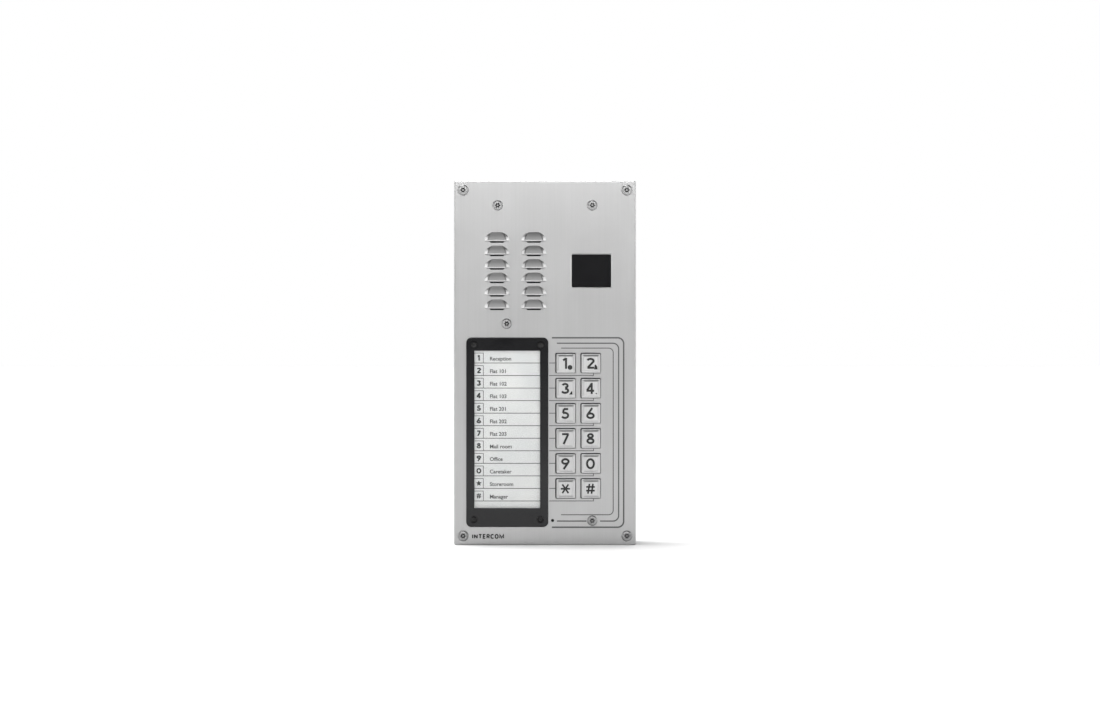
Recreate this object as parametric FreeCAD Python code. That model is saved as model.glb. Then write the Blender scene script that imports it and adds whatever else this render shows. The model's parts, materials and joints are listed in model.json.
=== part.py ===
# Door intercom panel: a brushed stainless faceplate with speaker louvres, a camera window, a
# directory and twelve push keys, screwed with its electronics to a shallow steel wall box.
#
# Frame: millimetres, +X to the right as seen from the front, +Y into the wall and +Z up.
# The origin is the centre of the wall box's back face, which rests on the wall.
# Every depth below is measured from the faceplate's front face towards the wall.
import FreeCAD, Part
import math
import os

from FreeCAD import Vector

# ---- driving dimensions ---------------------------------------------------------------------
PLATE_WIDTH = 127.0
PLATE_HEIGHT = 254.0
PLATE_THICKNESS = 2.0
PLATE_CORNER = 1.2
PLATE_EDGE_ROUND = 0.9
GASKET_THICKNESS = 1.5
BOX_DEPTH = 50.0
BOX_SHEET = 1.5
BOX_INSET = 1.2  # the box stays this far inside the faceplate's outline
FLANGE_WIDTH = 8.0
GUSSET = 13.0

CORNER_SCREW_X = 57.15
CORNER_SCREW_Z = 120.65
CHASSIS_SCREWS = [(-33.0, 110.0), (33.0, 110.0), (-26.7, 27.4), (33.0, -110.0)]
HIDDEN_STUD = (-33.0, -110.0)  # the fifth board support, on a stud behind the directory
SCREW_RADIUS = 2.0
SCREW_HOLE_RADIUS = 2.2
THREAD_GAP = 0.05

KEY_PITCH = 17.5
KEY_SIZE = 13.1
KEY_HOLE = 14.0
KEY_TRAVEL = 1.2
KEY_RIM_PROUD = 0.5
KEY_PROUD = 1.15
KEY_HANG = 0.22  # a key lies this far down and to the right in its hole's clearance
KEY_POCKET = 16.6
KEYPAD_X = 23.1  # middle of the two key columns
TOP_KEY_Z = 0.0
KEY_ROWS = [("1", "2"), ("3", "4"), ("5", "6"), ("7", "8"), ("9", "0"), ("star", "hash")]

LOUVRE_COLUMNS = [-33.5, -7.8]
LOUVRE_ROWS = 6
LOUVRE_PITCH = 9.4
TOP_LOUVRE_Z = 84.9
LOUVRE_WIDTH = 18.2
LOUVRE_HEIGHT = 7.2
LOUVRE_PROUD = 2.3
LOUVRE_FLARE = 3.7  # how far each side slopes out from the hood's shoulder to its foot
LOUVRE_LIP = 0.65
LOUVRE_SLOT = 1.0

WINDOW_X = 32.4
WINDOW_Z = 64.3
WINDOW_WIDTH = 27.6
WINDOW_HEIGHT = 22.9

BEZEL_X = -26.3
BEZEL_Z = -48.3
BEZEL_WIDTH = 57.2
BEZEL_HEIGHT = 132.2
BEZEL_THICKNESS = 2.4
BEZEL_SCREW_X = 23.2
BEZEL_SCREW_Z = 60.9
CARD_Z = -46.3
CARD_WIDTH = 45.8
CARD_HEIGHT = 109.7

SPEAKER_X = -20.65
SPEAKER_Z = 64.4
SPEAKER_RADIUS = 28.5
SPEAKER_CLIP_ANGLES = [90.0, 220.0, 320.0]
MICROPHONE_X = 5.3
MICROPHONE_Z = -109.9
MICROPHONE_HOLE = 1.1

BOARD_WIDTH = 88.0
BOARD_HEIGHT = 230.0
BOARD_THICKNESS = 1.6
BOARD_DEPTH = 28.0  # the main board's front face

CABLE_ENTRY_Z = 45.0
GROMMET_BORE = 5.0
WALL_HOLE_X = 38.1
WALL_HOLE_Z = 88.9
WALL_HOLE_RADIUS = 2.6

# ---- worked out from them -------------------------------------------------------------------
FRONT_Y = -(PLATE_THICKNESS + GASKET_THICKNESS + BOX_DEPTH)
PLATE_BACK = PLATE_THICKNESS
BOX_FRONT = PLATE_BACK + GASKET_THICKNESS
WALL = BOX_FRONT + BOX_DEPTH
BOX_WIDTH = PLATE_WIDTH - 2 * BOX_INSET
BOX_HEIGHT = PLATE_HEIGHT - 2 * BOX_INSET
BOARD_BACK = BOARD_DEPTH + BOARD_THICKNESS
KEYPAD_Z = TOP_KEY_Z - 2.5 * KEY_PITCH
CORNERS = [(x, z) for x in (-1, 1) for z in (-1, 1)]
BEZEL_SCREWS = [(BEZEL_X + x * BEZEL_SCREW_X, BEZEL_Z + z * BEZEL_SCREW_Z) for x, z in CORNERS]

# The keypad's layers, from the faceplate's back towards the wall.
KEY_SKIN_END = PLATE_BACK + 0.6
KEY_FLANGE_START = KEY_SKIN_END + 0.1
KEY_FLANGE_END = KEY_FLANGE_START + 1.2
HOUSING_END = PLATE_BACK + 4.5
DOME_TOP = HOUSING_END - 1.28
KEY_STEM_END = DOME_TOP - 0.02
MEMBRANE_END = HOUSING_END + 1.0
KEYPAD_BOARD_END = MEMBRANE_END + 1.6
BACKPLATE_END = KEYPAD_BOARD_END + 1.2
KEYPAD_BLOCK_WIDTH = 49.8
KEYPAD_BLOCK_HEIGHT = 105.9
KEYPAD_STUDS = [
    (KEYPAD_X + side * 21.1, KEYPAD_Z + row * 2 * KEY_PITCH) for side in (-1, 1) for row in (-1, 0, 1)
]

# The loudspeaker's layers.
MEMBRANE_SHEET_END = PLATE_BACK + 0.5
SPEAKER_FRONT = PLATE_BACK + 2.3
SPEAKER_FLANGE_END = SPEAKER_FRONT + 1.0
CONE_SEAT_RADIUS = 25.0
BASKET_FLOOR = 15.0
SPEAKER_STUDS = [
    (
        SPEAKER_X + 33.0 * math.cos(math.radians(angle)),
        SPEAKER_Z + 33.0 * math.sin(math.radians(angle)),
    )
    for angle in SPEAKER_CLIP_ANGLES
]
CLIP_END = SPEAKER_FLANGE_END + 1.2

# The camera's layers.
PANE_RECESS = 0.6
CAMERA_GASKET_END = PLATE_BACK + 0.6
PANE_END = CAMERA_GASKET_END + 2.0
SHROUD_FLANGE_END = PANE_END + 1.5
CAMERA_BOARD_DEPTH = 16.0
CAMERA_BOARD_END = CAMERA_BOARD_DEPTH + 1.2
CAMERA_STUDS = [(WINDOW_X, WINDOW_Z + 20.0), (WINDOW_X, WINDOW_Z - 20.0)]

STUD_RADIUS = 1.5
NUT_HEIGHT = 2.4


# ---- shape helpers --------------------------------------------------------------------------
def at(x, depth, z):
    """The point x, z at this depth behind the faceplate's front face."""
    return Vector(x, FRONT_Y + depth, z)


def outline(x, z, width, height, radius, depth):
    """A rectangle with rounded corners, parallel to the faceplate."""
    half_w = width / 2
    half_h = height / 2
    if radius <= 0:
        corners = [(-1, -1), (1, -1), (1, 1), (-1, 1)]
        points = [at(x + i * half_w, depth, z + j * half_h) for i, j in corners]
        return Part.makePolygon(points + points[:1])
    edges = []
    straight_w = half_w - radius
    straight_h = half_h - radius
    diagonal = radius * math.sqrt(0.5)
    sides = [
        ((-straight_w, -half_h), (straight_w, -half_h), (straight_w, -straight_h), (1, -1)),
        ((half_w, -straight_h), (half_w, straight_h), (straight_w, straight_h), (1, 1)),
        ((straight_w, half_h), (-straight_w, half_h), (-straight_w, straight_h), (-1, 1)),
        ((-half_w, straight_h), (-half_w, -straight_h), (-straight_w, -straight_h), (-1, -1)),
    ]
    for number, (start, end, centre, way) in enumerate(sides):
        after = sides[(number + 1) % len(sides)][0]
        middle = (centre[0] + way[0] * diagonal, centre[1] + way[1] * diagonal)
        from_point, to_point, through, next_point = [
            at(x + u, depth, z + v) for u, v in (start, end, middle, after)
        ]
        edges.append(Part.LineSegment(from_point, to_point).toShape())
        edges.append(Part.Arc(to_point, through, next_point).toShape())
    return Part.Wire(edges)


def slab(x, z, width, height, start, end, radius=0.0):
    """A flat piece parallel to the faceplate, from one depth to another."""
    face = Part.Face(outline(x, z, width, height, radius, start))
    return face.extrude(Vector(0, end - start, 0))


def frustum(x, z, front, back, start, end, radius):
    """A straight-sided funnel between two rounded rectangles, each given as (width, height)."""
    wires = [outline(x, z, *front, radius, start), outline(x, z, *back, radius, end)]
    return Part.makeLoft(wires, True, True)


def rod(x, z, radius, start, end):
    """A cylinder whose axis is square to the faceplate."""
    return Part.makeCylinder(radius, end - start, at(x, start, z), Vector(0, 1, 0))


def ring(x, z, outer, inner, start, end):
    return rod(x, z, outer, start, end).cut(rod(x, z, inner, start, end))


def hexagon(x, z, across_flats, start, end):
    reach = across_flats / 2 / math.cos(math.radians(30))
    points = []
    for number in range(7):
        angle = math.radians(60 * number)
        points.append(at(x + reach * math.cos(angle), start, z + reach * math.sin(angle)))
    return Part.Face(Part.makePolygon(points)).extrude(Vector(0, end - start, 0))


def turned(x, z, profile):
    """Turns a closed profile about the line through x, z that is square to the faceplate.

    A profile is a list of (radius, depth) points. A pair of points in the list is an arc
    through the first of the pair to the second.
    """
    here = profile[0]
    edges = []
    for step in profile[1:] + profile[:1]:
        if isinstance(step[0], tuple):
            middle, there = step
            points = [at(x + r, d, z) for r, d in (here, middle, there)]
            edges.append(Part.Arc(*points).toShape())
        else:
            there = step
            start, end = [at(x + r, d, z) for r, d in (here, there)]
            edges.append(Part.LineSegment(start, end).toShape())
        here = there
    face = Part.Face(Part.Wire(edges))
    return face.revolve(at(x, 0, z), Vector(0, 1, 0), 360)


def prism_between(lower, upper, lower_z, upper_z):
    """A straight-sided solid between two (x, depth) outlines at two heights."""
    wires = []
    for points, z in ((lower, lower_z), (upper, upper_z)):
        corners = [at(x, depth, z) for x, depth in points]
        wires.append(Part.makePolygon(corners + corners[:1]))
    return Part.makeLoft(wires, True, True)


def rounded_path(points, radius):
    """Straight runs through the points, joined by tangent arcs of one radius."""
    edges = []
    here = points[0]
    for corner, after in zip(points[1:-1], points[2:]):
        back = (here - corner).normalize()
        on = (after - corner).normalize()
        turn = math.pi - back.getAngle(on)
        reach = radius * math.tan(turn / 2)
        start = corner + back * reach
        end = corner + on * reach
        inward = (back + on).normalize()
        middle = corner + inward * (radius / math.cos(turn / 2) - radius)
        edges.append(Part.LineSegment(here, start).toShape())
        edges.append(Part.Arc(start, middle, end).toShape())
        here = end
    edges.append(Part.LineSegment(here, points[-1]).toShape())
    return Part.Wire(edges)


def swept(path, profile):
    return path.makePipeShell([profile], True, False)


def together(shapes):
    first, *others = shapes
    return first.fuse(others).removeSplitter() if others else first


def apart(shapes):
    """Separate pieces that share one node."""
    return Part.makeCompound(shapes)


def edges_at(shape, depth):
    """The edges that lie wholly at this depth."""
    y = FRONT_Y + depth
    found = []
    for edge in shape.Edges:
        bounds = edge.BoundBox
        if abs(bounds.YMin - y) < 1e-4 and abs(bounds.YMax - y) < 1e-4:
            found.append(edge)
    return found


# ---- fasteners ------------------------------------------------------------------------------
def security_screw(x, z, head_radius, head_height, shank_end):
    """A button-headed screw with a six-lobed recess around a pin, seated on the faceplate."""
    head = turned(
        x,
        z,
        [
            (0, 0),
            (head_radius, 0),
            (head_radius, -0.45),
            ((head_radius - 0.42, -head_height * 0.78), (head_radius - 1.35, -head_height)),
            (0, -head_height),
        ],
    )
    recess_floor = -head_height + 0.9
    recess_end = recess_floor + 1.1
    lobes = [rod(x, z, 1.3, -head_height - 1, recess_end)]
    for number in range(6):
        angle = math.radians(60 * number)
        lobe_x = x + 1.45 * math.cos(angle)
        lobe_z = z + 1.45 * math.sin(angle)
        lobes.append(rod(lobe_x, lobe_z, 0.48, -head_height - 1, recess_end))
    above = -head_height - 1
    wall = [(0.5, recess_end), (2.2, recess_floor), (2.2, above)]
    funnel = turned(x, z, [(0, recess_end), *wall, (0, above)])
    recess = together(lobes).common(funnel)
    pin = rod(x, z, 0.6, -head_height + 0.2, recess_end)
    return together([together([head, rod(x, z, SCREW_RADIUS, 0, shank_end)]).cut(recess), pin])


def make_faceplate_screws():
    return apart(
        [
            security_screw(i * CORNER_SCREW_X, j * CORNER_SCREW_Z, 3.8, 1.8, 12.0)
            for i, j in CORNERS
        ]
    )


def make_chassis_screws():
    return apart([security_screw(x, z, 3.6, 1.5, 10.0) for x, z in CHASSIS_SCREWS])


def make_bezel_screws():
    """Small black socket screws that hold the directory bezel."""
    screws = []
    seat = -1.4
    for x, z in BEZEL_SCREWS:
        top = seat - 1.4
        head = turned(
            x,
            z,
            [(0, seat), (2.3, seat), (2.3, seat - 0.5), ((1.9, top + 0.3), (1.2, top)), (0, top)],
        )
        shank = rod(x, z, 1.25, seat, 6.0)
        screws.append(together([head.cut(hexagon(x, z, 1.5, top - 1, top + 0.9)), shank]))
    return apart(screws)


def make_bezel_nuts():
    nuts = []
    for x, z in BEZEL_SCREWS:
        nuts.append(ring(x, z, 2.8, 1.25 + THREAD_GAP, PLATE_BACK, PLATE_BACK + 2.0))
    return apart(nuts)


def make_plate_studs():
    """Studs welded to the back of the faceplate."""
    studs = [rod(x, z, STUD_RADIUS, PLATE_BACK, BACKPLATE_END + 3.2) for x, z in KEYPAD_STUDS]
    studs += [rod(x, z, STUD_RADIUS, PLATE_BACK, CLIP_END + 3.2) for x, z in SPEAKER_STUDS]
    studs += [rod(x, z, STUD_RADIUS, PLATE_BACK, SHROUD_FLANGE_END + 3.2) for x, z in CAMERA_STUDS]
    studs.append(rod(*HIDDEN_STUD, SCREW_RADIUS, PLATE_BACK, 10.0))
    return apart(studs)


def make_stud_nuts():
    seats = [(x, z, BACKPLATE_END) for x, z in KEYPAD_STUDS]
    seats += [(x, z, CLIP_END) for x, z in SPEAKER_STUDS]
    seats += [(x, z, SHROUD_FLANGE_END) for x, z in CAMERA_STUDS]
    nuts = []
    for x, z, seat in seats:
        body = hexagon(x, z, 5.5, seat, seat + NUT_HEIGHT)
        nuts.append(body.cut(rod(x, z, STUD_RADIUS + THREAD_GAP, seat, seat + NUT_HEIGHT)))
    return apart(nuts)


# ---- faceplate ------------------------------------------------------------------------------
def louvre_section(x, z, shoulder, crown):
    """An arch across a louvre at one height, closed below the faceplate's surface."""
    buried = 0.9
    foot = shoulder + LOUVRE_FLARE
    points = [
        at(x - foot, buried, z),
        at(x - shoulder, crown, z),
        at(x + shoulder, crown, z),
        at(x + foot, buried, z),
    ]
    arch = rounded_path(points, 0.4 + 0.45 * (buried - crown))
    base = Part.LineSegment(points[-1], points[0]).toShape()
    return Part.Wire(arch.Edges + [base])


def louvre_hood(x, mouth_z):
    """The outside of one pressed louvre: a sloping hood with rounded shoulders, open below."""
    wires = []
    mouth_shoulder = LOUVRE_WIDTH / 2 - 2.7
    for rise in (0.0, 0.3, 0.6, 0.85, 1.0):
        shoulder = mouth_shoulder - 1.2 * rise - 3.1 * rise ** 3
        crown = -LOUVRE_PROUD + (LOUVRE_PROUD + 0.35) * rise ** 1.3
        wires.append(louvre_section(x, mouth_z + rise * LOUVRE_HEIGHT, shoulder, crown))
    hood = Part.makeLoft(wires, True, False)
    lip = []
    for edge in hood.Edges:
        bounds = edge.BoundBox
        on_mouth = abs(bounds.ZMin - mouth_z) < 1e-4 and abs(bounds.ZMax - mouth_z) < 1e-4
        if on_mouth and bounds.YMin < FRONT_Y + 0.8:
            lip.append(edge)
    return hood.makeFillet(LOUVRE_LIP, lip)


def louvre_cavity(x, mouth_z):
    """The space under one hood and the slot that its cut leaves below the lip."""
    through = PLATE_BACK + 0.5
    roof = -LOUVRE_PROUD + 1.2
    slope_end = 4.6
    half = LOUVRE_WIDTH / 2
    outlines = []
    for front_inset, back_inset, front in ((3.2, 1.2, roof), (5.2, 4.6, 0.9)):
        outlines.append(
            [
                (x - half + back_inset, through),
                (x - half + front_inset, front),
                (x + half - front_inset, front),
                (x + half - back_inset, through),
            ]
        )
    under = prism_between(*outlines, mouth_z, mouth_z + slope_end)
    slot = [
        at(x - half + 3.7, -0.5, mouth_z + 0.01),
        at(x + half - 3.7, -0.5, mouth_z + 0.01),
        at(x + half - 4.7, -0.5, mouth_z - LOUVRE_SLOT),
        at(x - half + 4.7, -0.5, mouth_z - LOUVRE_SLOT),
    ]
    below = Part.Face(Part.makePolygon(slot + slot[:1])).extrude(Vector(0, through + 0.5, 0))
    return [under, below]


def make_faceplate():
    plate = slab(0, 0, PLATE_WIDTH, PLATE_HEIGHT, 0, PLATE_THICKNESS, PLATE_CORNER)
    plate = plate.makeFillet(PLATE_EDGE_ROUND, edges_at(plate, 0))
    hoods = []
    holes = []
    for x in LOUVRE_COLUMNS:
        for row in range(LOUVRE_ROWS):
            mouth_z = TOP_LOUVRE_Z - row * LOUVRE_PITCH
            hoods.append(louvre_hood(x, mouth_z))
            holes += louvre_cavity(x, mouth_z)
    plate = plate.fuse(hoods)
    behind = PLATE_BACK + 0.5
    for name, x, z in key_places():
        holes.append(slab(x, z, KEY_HOLE, KEY_HOLE, -0.5, behind, 1.1))
        wide = KEY_HOLE + 0.5
        holes.append(frustum(x, z, (wide, wide), (KEY_HOLE, KEY_HOLE), 0, 0.25, 1.1))
    holes.append(slab(WINDOW_X, WINDOW_Z, WINDOW_WIDTH, WINDOW_HEIGHT, -0.5, behind, 0.8))
    wide_window = (WINDOW_WIDTH + 1.2, WINDOW_HEIGHT + 1.2)
    holes.append(frustum(WINDOW_X, WINDOW_Z, wide_window, (WINDOW_WIDTH, WINDOW_HEIGHT), 0, 0.6, 0.8))
    for i, j in CORNERS:
        holes.append(rod(i * CORNER_SCREW_X, j * CORNER_SCREW_Z, SCREW_HOLE_RADIUS, -0.5, behind))
    for x, z in CHASSIS_SCREWS:
        holes.append(rod(x, z, SCREW_HOLE_RADIUS, -0.5, behind))
    for x, z in BEZEL_SCREWS:
        holes.append(rod(x, z, 1.45, -0.5, behind))
    holes.append(rod(MICROPHONE_X, MICROPHONE_Z, MICROPHONE_HOLE, -0.5, behind))
    return plate.cut(holes)


def box_opening(start, end):
    """The opening inside the box's front flange, which leaves a gusset in each corner."""
    wide = slab(0, 0, BOX_WIDTH - 2 * FLANGE_WIDTH, BOX_HEIGHT - 2 * GUSSET, start, end, 1.0)
    tall = slab(0, 0, BOX_WIDTH - 2 * GUSSET, BOX_HEIGHT - 2 * FLANGE_WIDTH, start, end, 1.0)
    return together([wide, tall])


def make_faceplate_gasket():
    gasket = slab(0, 0, BOX_WIDTH - 0.6, BOX_HEIGHT - 0.6, PLATE_BACK, BOX_FRONT, 2.5)
    holes = [box_opening(PLATE_BACK - 0.5, BOX_FRONT + 0.5)]
    for i, j in CORNERS:
        holes.append(rod(i * CORNER_SCREW_X, j * CORNER_SCREW_Z, 2.4, PLATE_BACK - 0.5, BOX_FRONT + 0.5))
    return gasket.cut(holes)


# ---- wall box -------------------------------------------------------------------------------
def make_back_box():
    """A folded steel box, open at the front inside a flange, with a dished cable entry."""
    inside_back = WALL - BOX_SHEET
    box = slab(0, 0, BOX_WIDTH, BOX_HEIGHT, BOX_FRONT, WALL, 3.0)
    box = box.makeFillet(1.2, edges_at(box, WALL))
    inner_width = BOX_WIDTH - 2 * BOX_SHEET
    inner_height = BOX_HEIGHT - 2 * BOX_SHEET
    holes = [
        slab(0, 0, inner_width, inner_height, BOX_FRONT + BOX_SHEET, inside_back, 1.5),
        box_opening(BOX_FRONT - 0.5, BOX_FRONT + BOX_SHEET + 0.5),
    ]
    for i, j in CORNERS:
        x = i * CORNER_SCREW_X
        z = j * CORNER_SCREW_Z
        holes.append(rod(x, z, SCREW_HOLE_RADIUS, BOX_FRONT - 0.5, BOX_FRONT + 2))
        holes.append(rod(i * WALL_HOLE_X, j * WALL_HOLE_Z, WALL_HOLE_RADIUS, inside_back - 0.5, WALL + 0.5))
    box = box.cut(holes)

    dish_floor = WALL - 2.2
    dish_wall = dish_floor - BOX_SHEET
    seam = inside_back + 0.3
    boss = turned(0, CABLE_ENTRY_Z, [(0, dish_wall), (17.2, dish_wall), (19.4, seam), (0, seam)])
    mouth = WALL + 0.01
    dish = turned(0, CABLE_ENTRY_Z, [(0, dish_floor), (15.8, dish_floor), (18.0, mouth), (0, mouth)])
    box = together([box, boss]).cut([dish, rod(0, CABLE_ENTRY_Z, 9.0, dish_wall - 1, WALL + 1)])

    middle_depth = BOX_FRONT + BOX_DEPTH / 2
    scores = []
    for way in (-1, 1):
        start = at(0, middle_depth, way * (BOX_HEIGHT / 2 - 0.8))
        outer = Part.makeCylinder(11.0, 2.0, start, Vector(0, 0, way))
        inner = Part.makeCylinder(10.4, 2.0, start, Vector(0, 0, way))
        scores.append(outer.cut(inner))
    for way in (-1, 1):
        foot = at(way * 45.0, WALL - 6.0, -BOX_HEIGHT / 2 - 1)
        scores.append(Part.makeCylinder(1.6, BOX_SHEET + 2, foot, Vector(0, 0, 1)))
    return box.cut(scores)


def make_box_nuts():
    nuts = []
    start = BOX_FRONT + BOX_SHEET
    for i, j in CORNERS:
        x = i * CORNER_SCREW_X
        z = j * CORNER_SCREW_Z
        nuts.append(ring(x, z, 3.5, SCREW_RADIUS + THREAD_GAP, start, start + 3.0))
    return apart(nuts)


def make_cable_grommet():
    """A rubber grommet that stays below the wall face."""
    dish_floor = WALL - 2.2
    dish_wall = dish_floor - BOX_SHEET
    groove = 8.95
    profile = [
        (GROMMET_BORE, dish_wall - 2.0),
        (11.4, dish_wall - 2.0),
        (12.0, dish_wall - 1.2),
        (12.0, dish_wall),
        (groove, dish_wall),
        (groove, dish_floor),
        (12.0, dish_floor),
        (12.0, dish_floor + 1.0),
        (11.4, dish_floor + 1.8),
        (GROMMET_BORE, dish_floor + 1.8),
    ]
    return turned(0, CABLE_ENTRY_Z, profile)


# ---- directory ------------------------------------------------------------------------------
def make_directory_bezel():
    bezel = slab(BEZEL_X, BEZEL_Z, BEZEL_WIDTH, BEZEL_HEIGHT, -BEZEL_THICKNESS, 0, 3.6)
    bezel = bezel.makeFillet(0.6, edges_at(bezel, -BEZEL_THICKNESS))
    holes = [
        slab(BEZEL_X, CARD_Z, CARD_WIDTH, CARD_HEIGHT, -3, 0.5, 0.4),
        slab(BEZEL_X, CARD_Z, CARD_WIDTH + 4.2, CARD_HEIGHT + 4.2, -1.2, 0.5, 1.0),
    ]
    for x, z in BEZEL_SCREWS:
        holes.append(rod(x, z, 2.6, -3, -1.4))
        holes.append(rod(x, z, 1.45, -3, 0.5))
    return bezel.cut(holes)


def make_directory_window():
    """A clear pane that is stepped, so that it sits almost flush in the bezel."""
    front = slab(BEZEL_X, CARD_Z, CARD_WIDTH - 0.2, CARD_HEIGHT - 0.2, -2.2, -1.2, 0.3)
    back = slab(BEZEL_X, CARD_Z, CARD_WIDTH + 4.0, CARD_HEIGHT + 4.0, -1.2, -0.45, 0.9)
    return together([front, back])


def make_directory_card():
    return slab(BEZEL_X, CARD_Z, CARD_WIDTH + 3.8, CARD_HEIGHT + 3.8, -0.42, -0.02, 0.8)


# ---- keypad ---------------------------------------------------------------------------------
def key_places():
    """Each key's name and centre, from the top left."""
    places = []
    for row, names in enumerate(KEY_ROWS):
        for name, side in zip(names, (-1, 1)):
            places.append((name, KEYPAD_X + side * KEY_PITCH / 2, TOP_KEY_Z - row * KEY_PITCH))
    return places


def make_key(x, z):
    """A cast metal key: a flat rim around a raised face, with a flange and a stem behind."""
    cap = slab(x, z, KEY_SIZE, KEY_SIZE, -KEY_RIM_PROUD, KEY_FLANGE_START, 0.9)
    cap = cap.makeFillet(0.25, edges_at(cap, -KEY_RIM_PROUD))
    foot = KEY_SIZE - 1.2
    face = KEY_SIZE - 3.6
    raised = frustum(x, z, (face, face), (foot, foot), -KEY_PROUD, -KEY_RIM_PROUD, 0.45)
    flange = slab(x, z, KEY_SIZE + 2.6, KEY_SIZE + 2.6, KEY_FLANGE_START, KEY_FLANGE_END, 1.4)
    stem = rod(x, z, 2.4, KEY_FLANGE_END, KEY_STEM_END)
    return together([cap, raised, flange, stem])


def keypad_layer(start, end):
    """One flat layer of the keypad, drilled for the studs."""
    layer = slab(KEYPAD_X, KEYPAD_Z, KEYPAD_BLOCK_WIDTH, KEYPAD_BLOCK_HEIGHT, start, end, 2.0)
    return layer.cut([rod(x, z, 1.7, start - 0.5, end + 0.5) for x, z in KEYPAD_STUDS])


def make_keypad_housing():
    """The keys' guide: a thin front skin that each cap slides through, and a pocket for its flange."""
    housing = keypad_layer(PLATE_BACK, HOUSING_END)
    cuts = []
    for name, x, z in key_places():
        guide = KEY_SIZE + 0.3
        cuts.append(slab(x + KEY_HANG, z - KEY_HANG, guide, guide, PLATE_BACK - 0.5, HOUSING_END, 1.0))
        cuts.append(slab(x, z, KEY_POCKET, KEY_POCKET, KEY_SKIN_END, HOUSING_END + 0.5, 1.7))
    return housing.cut(cuts)


def make_keypad_membrane():
    """A silicone sheet with a hollow dome under each key."""
    sheet = keypad_layer(HOUSING_END, MEMBRANE_END)
    domes = []
    hollows = []
    for name, x, z in key_places():
        domes.append(turned(x, z, [(0, DOME_TOP), (2.8, DOME_TOP), (4.6, HOUSING_END), (0, HOUSING_END)]))
        hollows.append(
            turned(
                x,
                z,
                [
                    (0, DOME_TOP + 0.9),
                    (1.4, DOME_TOP + 0.9),
                    (1.4, DOME_TOP + 0.5),
                    (2.3, DOME_TOP + 0.5),
                    (4.1, MEMBRANE_END),
                    (0, MEMBRANE_END),
                ],
            )
        )
    return together([sheet] + domes).cut(hollows)


def make_keypad_board():
    return keypad_layer(MEMBRANE_END, KEYPAD_BOARD_END)


def make_keypad_backplate():
    plate = keypad_layer(KEYPAD_BOARD_END, BACKPLATE_END)
    window = slab(KEYPAD_X, KEYPAD_Z, 8.0, 16.0, KEYPAD_BOARD_END - 0.5, BACKPLATE_END + 0.5, 1.0)
    return plate.cut(window)


# ---- loudspeaker ----------------------------------------------------------------------------
def make_speaker_membrane():
    """A thin weather membrane that covers every louvre slot."""
    width = LOUVRE_COLUMNS[1] - LOUVRE_COLUMNS[0] + LOUVRE_WIDTH + 1.8
    height = (LOUVRE_ROWS - 1) * LOUVRE_PITCH + 10.7
    middle = TOP_LOUVRE_Z - (LOUVRE_ROWS - 1) * LOUVRE_PITCH / 2 + 2.05
    return slab(SPEAKER_X, middle, width, height, PLATE_BACK, MEMBRANE_SHEET_END, 2.0)


def make_speaker_gasket():
    inner = CONE_SEAT_RADIUS + 0.6
    return ring(SPEAKER_X, SPEAKER_Z, SPEAKER_RADIUS, inner, MEMBRANE_SHEET_END, SPEAKER_FRONT)


def make_speaker_basket():
    sheet = 0.8
    shell = turned(
        SPEAKER_X,
        SPEAKER_Z,
        [
            (SPEAKER_RADIUS, SPEAKER_FRONT),
            (SPEAKER_RADIUS, SPEAKER_FLANGE_END),
            (CONE_SEAT_RADIUS + sheet, SPEAKER_FLANGE_END),
            (CONE_SEAT_RADIUS + sheet, SPEAKER_FLANGE_END + sheet),
            (23.0, SPEAKER_FLANGE_END + sheet),
            (16.0, BASKET_FLOOR + sheet),
            (6.0, BASKET_FLOOR + sheet),
            (6.0, BASKET_FLOOR),
            (15.5, BASKET_FLOOR),
            (22.4, SPEAKER_FLANGE_END),
            (CONE_SEAT_RADIUS, SPEAKER_FLANGE_END),
            (CONE_SEAT_RADIUS, SPEAKER_FRONT),
        ],
    )
    windows = []
    for number in range(4):
        angle = math.radians(45 + 90 * number)
        centre_x = SPEAKER_X + 20.0 * math.cos(angle)
        centre_z = SPEAKER_Z + 20.0 * math.sin(angle)
        windows.append(rod(centre_x, centre_z, 5.2, SPEAKER_FLANGE_END + 1.5, BASKET_FLOOR - 0.5))
    tab = slab(SPEAKER_X + 19.9, SPEAKER_Z, 6.4, 9.0, 12.8, 14.2, 0.5)
    return together([shell.cut(windows), tab])


def make_speaker_cone():
    """The cone with its rolled surround and dust cap, and the voice coil behind it."""
    rim = SPEAKER_FRONT + 0.4
    cone = turned(
        SPEAKER_X,
        SPEAKER_Z,
        [
            (0, 9.6),
            (0.5, 9.6),
            ((3.2, 10.0), (5.6, 11.6)),
            (19.2, rim),
            ((21.3, SPEAKER_FRONT - 0.8), (23.4, rim)),
            (24.9, rim),
            (24.9, SPEAKER_FLANGE_END),
            (23.2, SPEAKER_FLANGE_END),
            ((21.3, SPEAKER_FRONT - 0.1), (19.4, SPEAKER_FLANGE_END)),
            (5.6, 12.3),
            ((3.0, 10.5), (0.5, 10.1)),
            (0, 10.1),
        ],
    )
    coil = ring(SPEAKER_X, SPEAKER_Z, 5.1, 4.8, 11.9, BASKET_FLOOR + 3.0)
    return apart([cone, coil])


def make_speaker_magnet():
    return ring(SPEAKER_X, SPEAKER_Z, 15.5, 8.0, BASKET_FLOOR + 2.8, BASKET_FLOOR + 7.8)


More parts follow.
